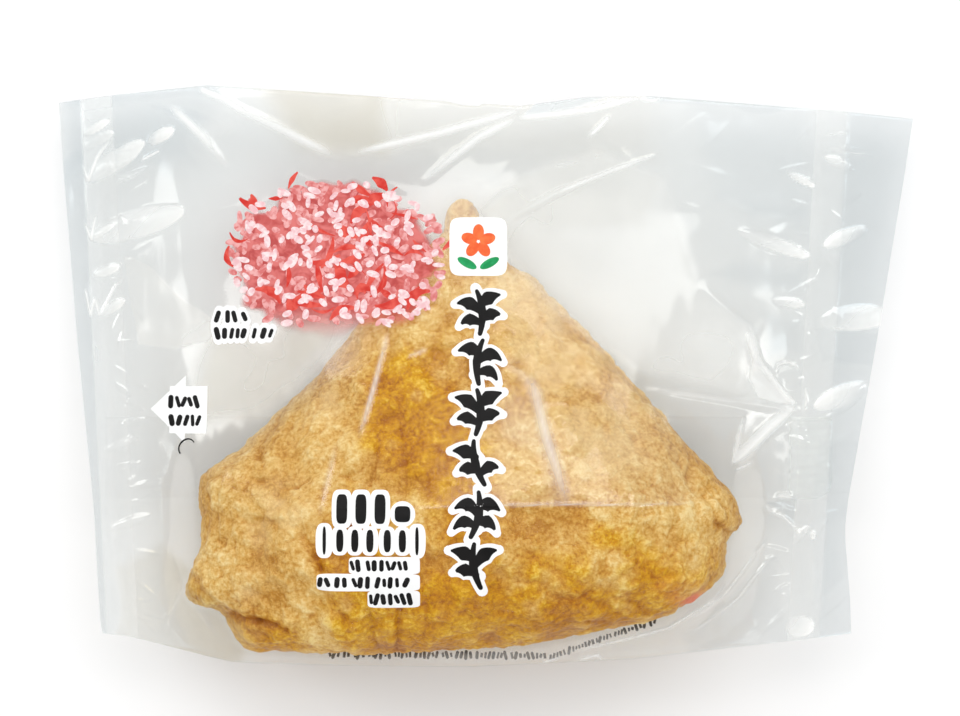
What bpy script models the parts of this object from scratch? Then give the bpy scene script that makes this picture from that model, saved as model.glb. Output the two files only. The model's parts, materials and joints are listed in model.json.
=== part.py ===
"""Triangular inari sushi sealed in a clear printed bag, lying on its back.

Units are metres and +Z is up. +Y points from the broad base of the inari to its tip, and the
bag's sealed ends face -X and +X. The origin is under the middle of the bag, on the surface
that it lies on.

Both solids are built from the same sections, which stand round a hub inside the inari like the
ribs of an umbrella. The inari is a plump pouch with a flat back. The bag is the space between
its film and the inari: it holds the inari in a pocket, leaves it free over the front, and runs
out to the pressed end seals and their loose tails.
"""

import math

import bmesh
import bpy
import numpy as np

MM = 0.001

SECTIONS = 100
HUB = np.array((-3.0, -22.0)) * MM

# Inari
INARI_CROWN = 35.0 * MM
TIP_TAPER = (-38.0 * MM, 36.0 * MM)
TIP_LOSS = 0.66
EAR_TAPER = (16.0 * MM, 62.0 * MM)
EAR_LOSS = 0.22
EAR_MIDDLE = -4.0 * MM
WAIST_SHARE = 0.42
BACK_FLAT_SHARE = 0.68
FRONT_FULLNESS = 0.72
BACK_RINGS = 5
FRONT_RINGS = 13
FRONT_RING_BIAS = 1.8
OUTLINE_EASE = 0.30
OUTLINE_FADE = 4.0
PUCKER_HEIGHT = 0.45 * MM
RELIEF_FROM = (0.2, 0.7)

# Corners of the inari's outline in mm: x, y and rounding radius, anticlockwise from the tip
INARI_CORNERS = (
    (-1.9, 32.2, 1.4),
    (-6.4, 32.0, 1.6),
    (-7.0, 26.5, 3.0),
    (-30.5, 0.0, 30.0),
    (-43.5, -13.6, 12.0),
    (-52.6, -17.8, 5.0),
    (-50.4, -29.0, 6.0),
    (-54.6, -40.8, 4.0),
    (-46.8, -41.6, 3.0),
    (-44.4, -49.3, 4.5),
    (-14.0, -49.6, 60.0),
    (27.0, -46.7, 22.0),
    (43.2, -36.0, 7.0),
    (42.6, -28.6, 1.6),
    (46.9, -27.6, 2.0),
    (45.0, -22.0, 5.0),
    (24.5, 0.4, 30.0),
    (9.0, 17.5, 12.0),
    (3.0, 20.5, 4.0),
    (-1.2, 27.0, 3.0),
)

# Furrows in the inari's skin in mm: start x and y, end x and y, half width and depth
INARI_FURROWS = (
    (-40.0, -13.0, -33.0, -1.0, 1.6, 1.1),
    (-37.0, -19.6, -31.0, -19.0, 1.2, 0.9),
    (-21.0, -38.0, -19.0, -52.0, 1.7, 1.2),
    (-14.0, -40.0, -15.0, -52.0, 1.4, 0.8),
    (-46.0, -31.0, -37.0, -34.0, 2.0, 1.1),
    (33.0, -27.0, 44.0, -29.0, 1.8, 1.2),
    (26.0, -40.0, 34.0, -47.0, 1.6, 0.9),
    (-9.0, 4.0, -4.0, 20.0, 1.8, 0.8),
)

# Bag
GAP = 0.5 * MM
FLOOR_THICKNESS = 0.5 * MM
FILM_WALL = 0.7 * MM
SEAL_THICKNESS = 0.8 * MM
TAIL_THICKNESS = 0.5 * MM
TAIL_DROOP = 1.6 * MM
TAIL_LENGTH = 20.0 * MM
SEAM_HEIGHT_FAR = 6.0 * MM
SEAM_HEIGHT_NEAR = 11.0 * MM
BASE_RISE = 4.0 * MM
BASE_RISE_FROM = (-48.0 * MM, -38.0 * MM)
BASE_RISE_MIDDLE = -2.0 * MM
BASE_RISE_REACH = 56.0 * MM
LIP_RING = 5
TENT_RINGS = 6
UNDER_RINGS = 5
FOLD_MARGIN = 0.5
FRONT_SLACK = 0.045
BACK_SLACK = 0.015
STEEPEST_SLANT = 0.25
GATHERS = 0.9 * MM
GATHER_COUNT = 13
FILM_EASING = 6

# Corners of the bag's outline in mm: x, y and rounding radius, anticlockwise from the top right
BAG_CORNERS = (
    (77.5, 46.3, 0.8),
    (30.0, 50.1, 12.0),
    (18.0, 50.0, 6.0),
    (6.0, 48.3, 6.0),
    (-50.5, 52.1, 14.0),
    (-77.5, 49.2, 0.8),
    (-73.6, 6.0, 60.0),
    (-70.4, -24.0, 30.0),
    (-69.0, -46.6, 0.8),
    (-64.0, -47.0, 10.0),
    (-45.5, -51.5, 16.0),
    (-4.0, -52.1, 80.0),
    (26.0, -50.8, 60.0),
    (47.0, -48.6, 40.0),
    (65.8, -46.7, 0.8),
    (64.2, -27.0, 30.0),
    (70.8, 8.0, 90.0),
)

# The two sides of each pressed end seal in mm: x at the top edge and x at the base edge
LEFT_SEAL = ((-72.6, -67.6), (-67.6, -61.8))
RIGHT_SEAL = ((59.9, 53.5), (65.6, 58.6))
BAG_TOP = 52.0
BAG_BASE = -52.4


def clear_scene():
    """Start from an empty scene."""
    for thing in list(bpy.data.objects):
        bpy.data.objects.remove(thing, do_unlink=True)


def ease_between(value, low, high):
    """Ease from 0 at low to 1 at high, with level ends."""
    share = np.clip((value - low) / (high - low), 0.0, 1.0)
    return share * share * (3.0 - 2.0 * share)


def rounded_outline(corners, spacing=0.6):
    """Closed line through corners of x, y and radius in mm, each turned with an arc."""
    points = []
    count = len(corners)
    for index, (x, y, radius) in enumerate(corners):
        corner = np.array((x, y))
        before = np.array(corners[index - 1][:2]) - corner
        after = np.array(corners[(index + 1) % count][:2]) - corner
        reach = 0.48 * min(np.linalg.norm(before), np.linalg.norm(after))
        before = before / np.linalg.norm(before)
        after = after / np.linalg.norm(after)
        half_angle = 0.5 * math.acos(np.clip(before @ after, -1.0, 1.0))
        setback = min(radius / math.tan(half_angle), reach)
        start = corner + before * setback
        end = corner + after * setback
        steps = max(3, int(2.0 * setback / spacing))
        for share in np.linspace(0.0, 1.0, steps):
            bend = 2.0 * share * (1.0 - share)
            points.append(start * (1.0 - share) ** 2 + corner * bend + end * share ** 2)
    filled = []
    for here, there in zip(points, points[1:] + points[:1]):
        steps = max(1, int(np.linalg.norm(there - here) / spacing))
        for share in range(steps):
            filled.append(here + (there - here) * share / steps)
    return np.array(filled) * MM


def polar(outline):
    """Angle and distance of each outline point, seen from the hub, in order of angle."""
    arms = outline - HUB
    angles = np.arctan2(arms[:, 1], arms[:, 0])
    order = np.argsort(angles)
    return angles[order], np.linalg.norm(arms, axis=1)[order]


def reach_at(outline, angles):
    """Distance from the hub to the outline in each of the given directions."""
    outline_angles, distances = polar(outline)
    return np.interp(angles, outline_angles, distances, period=2.0 * math.pi)


def seal_line_reach(line, angles):
    """Distance from the hub to a slanting end line, given by its x at the top and at the base."""
    x_top, x_base = line
    slope = (x_top - x_base) / (BAG_TOP - BAG_BASE)
    run = np.cos(angles) - slope * np.sin(angles)
    start = (x_base - slope * BAG_BASE) * MM - (HUB[0] - slope * HUB[1])
    reach = np.full_like(angles, 10.0)
    towards = start * run > 0.0
    reach[towards] = start / run[towards]
    return reach


def section_angles(inari_outline, fixed_points):
    """Directions of the sections: even along the inari, with one through each fixed point."""
    steps = np.linalg.norm(np.roll(inari_outline, -1, axis=0) - inari_outline, axis=1)
    along = np.concatenate(((0.0,), np.cumsum(steps)))
    closed = np.vstack((inari_outline, inari_outline[:1]))
    places = np.linspace(0.0, along[-1], SECTIONS, endpoint=False)
    points = np.stack([np.interp(places, along, closed[:, axis]) for axis in (0, 1)], axis=1)
    angles = np.sort(np.arctan2(*(points - HUB).T[::-1]))
    for point in fixed_points:
        wanted = math.atan2(point[1] - HUB[1], point[0] - HUB[0])
        angles[np.argmin(np.abs(angles - wanted))] = wanted
    return np.sort(angles)


def furrow_depth(x, y):
    """Depth of the skin's furrows at each place."""
    depth = np.zeros_like(x)
    for start_x, start_y, end_x, end_y, half_width, deep in INARI_FURROWS:
        start = np.array((start_x, start_y)) * MM
        run = np.array((end_x, end_y)) * MM - start
        share = ((x - start[0]) * run[0] + (y - start[1]) * run[1]) / (run @ run)
        share = np.clip(share, 0.0, 1.0)
        away = np.hypot(x - start[0] - share * run[0], y - start[1] - share * run[1])
        depth += deep * MM * np.exp(-(away / (half_width * MM)) ** 2)
    return depth


def skin_pucker(x, y):
    """Broad uneven swell of the skin, from waves that cross each other."""
    swell = np.zeros_like(x)
    for turn, (length, phase) in enumerate(((23.0, 0.4), (15.5, 2.1), (11.0, 4.0), (8.5, 5.3))):
        heading = 0.7 + 1.9 * turn
        travel = x * math.cos(heading) + y * math.sin(heading)
        swell += np.sin(2.0 * math.pi * travel / (length * MM) + phase)
    return PUCKER_HEIGHT * swell


def crown_height(x, y):
    """Full height of the inari at each place, lower towards the tip and the two ears."""
    towards_tip = ease_between(y, *TIP_TAPER)
    towards_ear = ease_between(np.abs(x - EAR_MIDDLE), *EAR_TAPER)
    return INARI_CROWN * (1.0 - TIP_LOSS * towards_tip) * (1.0 - EAR_LOSS * towards_ear)


def eased_reach(angles, reach):
    """The outline's distances without its tip, ears and nicks, which fade towards the crown."""
    turn = np.abs(angles[:, None] - angles[None, :])
    turn = np.minimum(turn, 2.0 * math.pi - turn)
    width = np.diff(np.append(angles, angles[0] + 2.0 * math.pi))
    weight = np.exp(-(turn / OUTLINE_EASE) ** 2) * width
    return weight @ reach / weight.sum(axis=1)


def inari_rings(angles, reach):
    """Rings of points up the inari, from the flat back over the waist to the crown."""
    directions = np.stack((np.cos(angles), np.sin(angles)), axis=1)
    floor = FLOOR_THICKNESS + GAP
    eased = eased_reach(angles, reach)
    rings = []
    for turn in np.linspace(0.0, 0.5 * math.pi, BACK_RINGS + 1):
        share = BACK_FLAT_SHARE + (1.0 - BACK_FLAT_SHARE) * math.sin(turn)
        radius = eased * share + (reach - eased) * share ** OUTLINE_FADE
        spot = HUB + directions * radius[:, None]
        waist = WAIST_SHARE * crown_height(spot[:, 0], spot[:, 1])
        height = floor + (waist - floor) * (1.0 - math.cos(turn))
        rings.append(np.column_stack((spot, height)))
    for step in range(1, FRONT_RINGS):
        share = 1.0 - (step / FRONT_RINGS) ** FRONT_RING_BIAS
        radius = eased * share + (reach - eased) * share ** OUTLINE_FADE
        spot = HUB + directions * radius[:, None]
        crown = crown_height(spot[:, 0], spot[:, 1])
        swell = (1.0 - share ** (2.0 / FRONT_FULLNESS)) ** (FRONT_FULLNESS / 2.0)
        rise = (1.0 - WAIST_SHARE) * crown * swell
        ease = ease_between(swell, *RELIEF_FROM)
        relief = skin_pucker(spot[:, 0], spot[:, 1]) - furrow_depth(spot[:, 0], spot[:, 1])
        rings.append(np.column_stack((spot, WAIST_SHARE * crown + rise + ease * relief)))
    return rings


def slant_allowance(waist):
    """How much longer an offset is along each section than square to the waist's outline."""
    arms = waist[:, :2] - HUB
    run = np.roll(waist, -1, axis=0)[:, :2] - np.roll(waist, 1, axis=0)[:, :2]
    square = np.abs(arms[:, 0] * run[:, 1] - arms[:, 1] * run[:, 0])
    square /= np.linalg.norm(arms, axis=1) * np.linalg.norm(run, axis=1)
    return 1.0 / np.maximum(square, STEEPEST_SLANT)


def outward_offset(rings, gap):
    """Copy of each ring, moved away from the inari's skin by the given gap."""
    profile = np.stack(rings)
    arms = profile[:, :, :2] - HUB
    radii = np.linalg.norm(arms, axis=2)
    sideways = gap * slant_allowance(rings[BACK_RINGS])
    along_r = np.gradient(radii, axis=0)
    along_z = np.gradient(profile[:, :, 2], axis=0)
    length = np.hypot(along_r, along_z)
    moved_radii = radii + sideways * along_z / length
    moved = profile.copy()
    moved[:, :, :2] = HUB + arms * (moved_radii / radii)[:, :, None]
    moved[:, :, 2] -= gap * along_r / length
    return moved


def seam_height(x, y):
    """Height of the line where the front and back film meet."""
    towards_base = 1.0 - ease_between(y, BAG_BASE * MM, BAG_TOP * MM)
    on_base = 1.0 - ease_between(y, *BASE_RISE_FROM)
    mid = np.clip(1.0 - ((x - BASE_RISE_MIDDLE) / BASE_RISE_REACH) ** 2, 0.0, 1.0)
    lift = SEAM_HEIGHT_FAR + (SEAM_HEIGHT_NEAR - SEAM_HEIGHT_FAR) * towards_base
    return lift + BASE_RISE * on_base * mid


def taut_line(profile, seam, count, slack):
    """Points of a film drawn over a profile of (distance, height) and straight on to the seam."""
    span = seam[0] - profile[:, 0]
    tilt = np.arctan2(profile[:, 1] - seam[1], span)
    last = int(np.argmax(tilt))
    line = np.vstack((profile[:last + 1], seam))
    along = np.concatenate(((0.0,), np.cumsum(np.linalg.norm(np.diff(line, axis=0), axis=1))))
    places = np.linspace(0.0, along[-1], count + 1)
    free = np.clip((places - along[-2]) / (along[-1] - along[-2]), 0.0, 1.0)
    sag = slack * (along[-1] - along[-2]) * (4.0 * free * (1.0 - free)) ** 2
    distance = np.interp(places, along, line[:, 0])
    height = np.interp(places, along, line[:, 1]) - sag
    return np.column_stack((distance, height)), free


def film_rings(rings, angles, seam_reach, seam_z, count, slack, flip):
    """Rings of the film between the inari and the seam, on its front or its back."""
    radii = np.linalg.norm(rings[:, :, :2] - HUB, axis=2)
    film = np.empty((count + 1, len(angles), 3))
    looseness = np.zeros((count + 1, len(angles)))
    for index, angle in enumerate(angles):
        profile = np.column_stack((radii[:, index], flip * rings[:, index, 2]))
        seam = np.array((seam_reach[index], flip * seam_z[index]))
        line, free = taut_line(profile, seam, count, slack)
        gather = GATHERS * math.sin(GATHER_COUNT * angle + 0.8) * math.cos(angle) ** 2
        bulge = np.maximum(gather, 0.0) * free * (1.0 - free) * 4.0
        film[:, index, 0] = HUB[0] + line[:, 0] * math.cos(angle)
        film[:, index, 1] = HUB[1] + line[:, 0] * math.sin(angle)
        film[:, index, 2] = flip * (line[:, 1] + bulge)
        looseness[:, index] = free
    for _ in range(FILM_EASING):
        beside = (np.roll(film[:, :, 2], 1, axis=1) + np.roll(film[:, :, 2], -1, axis=1)) / 2.0
        film[:, :, 2] += 0.5 * looseness * (1.0 - looseness) * (beside - film[:, :, 2])
    return film


def flat_ring(angles, reach, heights):
    """Ring of points at the given distances from the hub and the given heights."""
    directions = np.stack((np.cos(angles), np.sin(angles)), axis=1)
    return np.column_stack((HUB + directions * reach[:, None], heights))


def closed_skin(name, rings, material):
    """Closed solid from a stack of rings, with a point in the middle of the first and last.

    The stack starts on the underside, so that every face points out.
    """
    mesh = bmesh.new()
    loops = []
    for ring in rings:
        loops.append([mesh.verts.new(tuple(point)) for point in ring])
    size = len(loops[0])
    for lower, upper in zip(loops, loops[1:]):
        for index in range(size):
            after = (index + 1) % size
            mesh.faces.new((lower[index], lower[after], upper[after], upper[index]))
    for loop, ring, step in ((loops[0], rings[0], -1), (loops[-1], rings[-1], 1)):
        middle = mesh.verts.new((HUB[0], HUB[1], float(np.mean(ring[:, 2]))))
        for index in range(size):
            pair = (loop[index], loop[(index + 1) % size])
            mesh.faces.new((middle, *pair[::step]))
    bmesh.ops.triangulate(mesh, faces=mesh.faces)
    data = bpy.data.meshes.new(name)
    mesh.to_mesh(data)
    mesh.free()
    data.materials.append(material)
    data.shade_smooth()
    data.set_sharp_from_angle(angle=math.radians(40.0))
    solid = bpy.data.objects.new(name, data)
    bpy.context.scene.collection.objects.link(solid)
    return solid


def plain_material(name, colour, roughness):
    """Principled material with one colour."""
    material = bpy.data.materials.new(name)
    material.use_nodes = True
    shader = material.node_tree.nodes["Principled BSDF"]
    shader.inputs["Base Color"].default_value = (*colour, 1.0)
    shader.inputs["Roughness"].default_value = roughness
    shader.inputs["Metallic"].default_value = 0.0
    return material


def build_inari(rings):
    """The tofu pouch with its rice, as one solid."""
    tofu = plain_material("simmered_tofu", (0.66, 0.41, 0.16), 0.5)
    return closed_skin("inari", rings, tofu)


def build_bag(rings, angles, bag_outline):
    """The bag with its air, as one solid with a pocket for the inari."""
    edge = reach_at(bag_outline, angles)
    inner = np.minimum(edge - FOLD_MARGIN * MM, seal_line_reach(LEFT_SEAL[1], angles))
    inner = np.minimum(inner, seal_line_reach(RIGHT_SEAL[0], angles))
    outer = np.minimum(edge - 0.5 * FOLD_MARGIN * MM, seal_line_reach(LEFT_SEAL[0], angles))
    outer = np.minimum(outer, seal_line_reach(RIGHT_SEAL[1], angles))

    pocket = outward_offset(rings, GAP)[:BACK_RINGS + LIP_RING + 1]
    pocket[0, :, 2] = FLOOR_THICKNESS
    cover = outward_offset(rings, GAP + FILM_WALL)[BACK_RINGS:BACK_RINGS + LIP_RING + 1][::-1]
    under = outward_offset(rings, GAP + FLOOR_THICKNESS)[:BACK_RINGS + 1]
    under[0, :, 2] = 0.0

    seam_spot = flat_ring(angles, inner, np.zeros_like(angles))
    seam = seam_height(seam_spot[:, 0], seam_spot[:, 1])
    droop = TAIL_DROOP * np.clip((edge - inner) / TAIL_LENGTH, 0.0, 1.0)
    above = seam + SEAL_THICKNESS / 2.0
    below = seam - SEAL_THICKNESS / 2.0
    front = film_rings(cover, angles, inner, above, TENT_RINGS, FRONT_SLACK, 1.0)
    back = film_rings(under, angles, inner, below, UNDER_RINGS, BACK_SLACK, -1.0)

    ends = []
    for side in (1.0, -1.0):
        seal = flat_ring(angles, outer, seam - droop * 0.4 + side * SEAL_THICKNESS / 2.0)
        tail = flat_ring(angles, edge, seam - droop + side * TAIL_THICKNESS / 2.0)
        ends.append((seal, tail))
    stack = list(back) + [ends[1][0], ends[1][1], ends[0][1], ends[0][0]]
    stack += list(front)[::-1] + list(pocket)[::-1]
    film = plain_material("clear_film", (0.84, 0.87, 0.88), 0.15)
    return closed_skin("bag", stack, film)


def main():
    """Build the inari and its bag."""
    clear_scene()
    inari_outline = rounded_outline(INARI_CORNERS)
    bag_outline = rounded_outline(BAG_CORNERS)
    seal_corners = [(line[side], height) for line in (*LEFT_SEAL, *RIGHT_SEAL)
                    for side, height in ((0, 48.0), (1, -48.0))]
    fixed = [np.array(point[:2]) * MM for point in (*seal_corners, *BAG_CORNERS)]
    angles = section_angles(inari_outline, fixed)
    rings = inari_rings(angles, reach_at(inari_outline, angles))
    build_inari(rings)
    build_bag(rings, angles, bag_outline)


main()
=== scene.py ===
"""Looks of a triangular inari sushi in its clear printed bag.

The bag lies on its back with the printed front up. The inari is a plump pouch of simmered tofu
skin. The front film is drawn over it and runs out to the folded edges and the pressed end seals,
and the print lies on the front film.
"""

import json
import math

import bmesh
import bpy
import numpy as np
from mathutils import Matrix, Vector
from mathutils.bvhtree import BVHTree


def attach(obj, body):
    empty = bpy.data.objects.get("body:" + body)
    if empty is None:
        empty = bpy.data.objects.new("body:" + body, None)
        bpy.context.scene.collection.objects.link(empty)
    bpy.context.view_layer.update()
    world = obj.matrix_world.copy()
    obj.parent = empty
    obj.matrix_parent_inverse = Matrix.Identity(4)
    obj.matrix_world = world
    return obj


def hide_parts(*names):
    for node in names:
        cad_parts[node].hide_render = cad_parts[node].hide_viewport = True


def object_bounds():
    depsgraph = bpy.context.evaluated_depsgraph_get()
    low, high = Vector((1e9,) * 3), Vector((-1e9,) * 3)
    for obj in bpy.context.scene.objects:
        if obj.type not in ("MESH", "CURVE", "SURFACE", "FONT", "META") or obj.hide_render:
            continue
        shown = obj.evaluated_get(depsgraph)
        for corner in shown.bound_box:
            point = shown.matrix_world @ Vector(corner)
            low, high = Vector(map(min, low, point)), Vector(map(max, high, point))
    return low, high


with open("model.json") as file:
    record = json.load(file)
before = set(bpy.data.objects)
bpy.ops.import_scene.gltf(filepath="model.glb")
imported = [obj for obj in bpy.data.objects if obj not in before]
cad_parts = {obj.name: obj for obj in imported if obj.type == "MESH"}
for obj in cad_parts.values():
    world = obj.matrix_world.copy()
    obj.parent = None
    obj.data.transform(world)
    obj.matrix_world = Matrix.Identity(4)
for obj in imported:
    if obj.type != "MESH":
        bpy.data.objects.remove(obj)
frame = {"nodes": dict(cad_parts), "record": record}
cad_low, cad_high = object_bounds()

MM = 0.001
BODY = "root"
HUB = np.array(frame["record"]["mounts"][0]["pos_m"][:2])


# ---------------------------------------------------------------- uneven fields worked out in numpy

def cell_shares(cells, seed):
    """Repeatable random number from 0 to 1 for each whole-number cell."""
    mixed = np.full(cells.shape[:-1], 374761393 * (seed + 1), dtype=np.uint64)
    for axis, prime in zip(range(cells.shape[-1]), (2654435761, 2246822519, 3266489917)):
        mixed ^= (cells[..., axis].astype(np.int64) + 100003).astype(np.uint64) * np.uint64(prime)
        mixed ^= mixed >> np.uint64(15)
        mixed *= np.uint64(2246822519)
        mixed ^= mixed >> np.uint64(13)
    return (mixed & np.uint64(0xFFFFFF)).astype(float) / 0xFFFFFF


def swell(points, size, seed):
    """Smooth uneven field from -1 to 1, with swells of about the given size."""
    places = points / size
    base = np.floor(places)
    share = places - base
    share = share * share * share * (share * (share * 6.0 - 15.0) + 10.0)
    total = np.zeros(points.shape[:-1])
    axes = points.shape[-1]
    for corner in range(2 ** axes):
        step = np.array([(corner >> axis) & 1 for axis in range(axes)])
        weight = np.prod(np.where(step == 1, share, 1.0 - share), axis=-1)
        total += weight * cell_shares(base + step, seed)
    return 2.0 * total - 1.0


def layered_swell(points, size, seed, layers=4, keep=0.5):
    """Swells of falling size on top of each other."""
    total = np.zeros(points.shape[:-1])
    for layer in range(layers):
        total += keep ** layer * swell(points, size / 2.0 ** layer, seed + 17 * layer)
    return total


def pebbles(points, size, seed):
    """Distance to the nearest and the second nearest of scattered seeds, in seed spacings."""
    places = points / size
    base = np.floor(places)
    axes = points.shape[-1]
    nearest = np.full(points.shape[:-1], 9.0)
    second = np.full(points.shape[:-1], 9.0)
    for corner in range(3 ** axes):
        step = np.array([(corner // 3 ** axis) % 3 - 1 for axis in range(axes)])
        cell = base + step
        gap = np.zeros(points.shape[:-1])
        for axis in range(axes):
            spot = cell[..., axis] + cell_shares(cell, seed + 31 * axis)
            gap += (spot - places[..., axis]) ** 2
        gap = np.sqrt(gap)
        second = np.minimum(second, np.maximum(nearest, gap))
        nearest = np.minimum(nearest, gap)
    return nearest, second


def ease_between(value, low, high):
    """Ease from 0 at low to 1 at high, with level ends."""
    share = np.clip((value - low) / (high - low), 0.0, 1.0)
    return share * share * (3.0 - 2.0 * share)


def along_line(x, y, start, end):
    """Share of the way along a line, and signed distance from it, for each place."""
    run = np.array(end) - np.array(start)
    length = np.linalg.norm(run)
    run = run / length
    share = ((x - start[0]) * run[0] + (y - start[1]) * run[1]) / length
    away = (y - start[1]) * run[0] - (x - start[0]) * run[1]
    return share, away, length


# ---------------------------------------------------------------- meshes

def read_mesh(thing):
    """Points and faces of a mesh object."""
    data = thing.data
    points = np.empty(len(data.vertices) * 3)
    data.vertices.foreach_get("co", points)
    return points.reshape(-1, 3), [tuple(face.vertices) for face in data.polygons]


def make_piece(name, points, faces, material, node, smooth=True):
    """New mesh piece that rides on the pack and stands for a solid of it."""
    data = bpy.data.meshes.new(name)
    data.from_pydata(np.asarray(points).tolist(), [], faces)
    data.update()
    if smooth:
        data.shade_smooth()
    piece = bpy.data.objects.new(name, data)
    bpy.context.scene.collection.objects.link(piece)
    data.materials.append(material)
    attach(piece, BODY)
    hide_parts(node)
    return piece


def set_field(piece, name, values):
    """Store one number for each point, for the material to read."""
    field = piece.data.attributes.new(name, "FLOAT", "POINT")
    field.data.foreach_set("value", np.asarray(values, dtype=np.float32).ravel())


def heights(tree, x, y, from_above, fallback):
    """Height of a surface under or over each place, straight up and down."""
    start = 1.0 if from_above else -1.0
    way = Vector((0.0, 0.0, -start))
    found = np.full(x.shape, fallback)
    for index in np.ndindex(x.shape):
        hit = tree.ray_cast(Vector((x[index], y[index], start)), way)[0]
        if hit is not None:
            found[index] = hit.z
    return found


# ---------------------------------------------------------------- material building

class Wire:
    """Output of a node, with arithmetic that adds Math nodes."""

    def __init__(self, recipe, socket):
        self.recipe = recipe
        self.socket = socket

    def sum(self, operation, *values):
        return self.recipe.add("Math", {"operation": operation}, dict(enumerate(values)))

    def __add__(self, other):
        return self.sum("ADD", self, other)

    def __radd__(self, other):
        return self.sum("ADD", other, self)

    def __sub__(self, other):
        return self.sum("SUBTRACT", self, other)

    def __rsub__(self, other):
        return self.sum("SUBTRACT", other, self)

    def __mul__(self, other):
        return self.sum("MULTIPLY", self, other)

    def __rmul__(self, other):
        return self.sum("MULTIPLY", other, self)

    def __truediv__(self, other):
        return self.sum("DIVIDE", self, other)

    def __pow__(self, other):
        return self.sum("POWER", self, other)

    def least(self, other):
        return self.sum("MINIMUM", self, other)

    def most(self, other):
        return self.sum("MAXIMUM", self, other)

    def size(self):
        return self.sum("ABSOLUTE", self)

    def ease(self, low, high):
        """Ease from 0 at low to 1 at high."""
        ends = {"From Min": low, "From Max": high, "Value": self}
        return self.recipe.add("MapRange", {"interpolation_type": "SMOOTHSTEP"}, ends)


class Recipe:
    """One material, or the studio's sky, and its nodes."""

    def __init__(self, name, store=bpy.data.materials):
        self.material = store.new(name)
        self.material.use_nodes = True
        self.tree = self.material.node_tree
        self.tree.nodes.clear()

    def add(self, kind, settings=None, inputs=None, out=0):
        """Add a node: its settings first, then a value or a link for each named input."""
        node = self.tree.nodes.new("ShaderNode" + kind)
        for key, value in (settings or {}).items():
            if key == "stops":
                self.set_stops(node.color_ramp.elements, value)
            else:
                setattr(node, key, value)
        for key, value in (inputs or {}).items():
            if isinstance(value, Wire):
                self.tree.links.new(value.socket, node.inputs[key])
            else:
                node.inputs[key].default_value = value
        return Wire(self, node.outputs[out]) if node.outputs else None

    @staticmethod
    def set_stops(elements, stops):
        """Give a colour ramp its stops."""
        while len(elements) < len(stops):
            elements.new(1.0)
        for element, (place, colour) in zip(elements, stops):
            element.position = place
            element.color = (*colour, 1.0)

    def blend(self, share, first, second, way="MIX"):
        """Mix two colours."""
        settings = {"data_type": "RGBA", "blend_type": way, "clamp_factor": True}
        return self.add("Mix", settings, {0: share, 6: first, 7: second}, out=2)

    def field(self, name):
        """Number stored on the mesh."""
        return self.add("Attribute", {"attribute_name": name}, out=2)

    def place(self):
        """Place on the pack, in metres."""
        return self.add("TexCoord", out=3)

    def noise(self, place, size, detail=3.0, roughness=0.5, warp=0.0):
        """Noise with lumps of about the given size in metres."""
        values = {"Vector": place, "Scale": 1.0 / size, "Detail": detail}
        values.update({"Roughness": roughness, "Distortion": warp})
        return self.add("TexNoise", None, values)

    def bumps(self, height, depth, strength=1.0):
        """Bump of the given depth in metres."""
        values = {"Height": height, "Distance": depth, "Strength": strength}
        return self.add("Bump", None, values)

    def finish(self, surface, output="OutputMaterial"):
        """Send a shader to the surface."""
        self.add(output, None, {"Surface": surface})
        return self.material


def colour(red, green, blue):
    """Linear colour from one given on a screen, from 0 to 255."""
    picked = np.array((red, green, blue)) / 255.0
    linear = np.where(picked <= 0.04045, picked / 12.92, ((picked + 0.055) / 1.055) ** 2.4)
    return (*linear.tolist(), 1.0)


# ---------------------------------------------------------------- inari

SKIN_VOXEL = 0.36 * MM

# Furrows in the skin in mm: start x and y, end x and y, half width and depth
FURROWS = (
    (-40.0, -13.0, -33.0, -1.0, 0.8, 0.40),
    (-41.2, -12.4, -39.4, -15.6, 0.5, 0.50),
    (-36.2, -19.4, -33.2, -20.0, 0.35, 0.70),
    (-33.2, -20.0, -30.6, -18.8, 0.30, 0.60),
    (-41.0, -17.4, -35.4, -21.6, 0.5, 0.30),
    (-20.0, -40.5, -18.9, -50.0, 0.35, 0.55),
    (-15.0, -39.5, -15.7, -49.5, 0.35, 0.65),
    (-10.4, -38.0, -11.2, -46.0, 0.5, 0.35),
    (-25.0, -42.0, -24.2, -50.0, 0.6, 0.45),
    (-47.0, -30.0, -38.0, -32.0, 1.5, 0.55),
    (-46.4, -42.2, -40.0, -43.4, 0.7, 0.80),
    (-40.0, -43.4, -35.4, -45.0, 0.6, 0.80),
    (-31.6, -27.8, -28.4, -33.4, 0.6, 0.75),
    (-28.4, -33.4, -24.0, -35.4, 0.6, 0.40),
    (-23.0, -26.0, -17.0, -34.0, 0.8, 0.40),
    (-18.6, -13.0, -20.6, -19.0, 0.5, 0.55),
    (-14.6, -3.0, -14.0, -18.0, 0.7, 0.35),
    (40.6, -26.4, 45.6, -28.8, 0.5, 0.60),
    (38.6, -22.0, 41.4, -27.0, 0.6, 0.50),
    (26.0, -40.0, 34.0, -47.0, 0.9, 0.50),
    (-9.0, 4.0, -4.0, 20.0, 1.2, 0.40),
    (-26.0, -12.0, -20.0, -34.0, 1.1, 0.30),
    (-6.0, -8.0, -2.0, -30.0, 1.4, 0.35),
    (13.0, -21.0, 30.0, -36.0, 1.4, 0.35),
    (9.0, -31.0, 24.0, -44.0, 1.0, 0.35),
)

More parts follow.
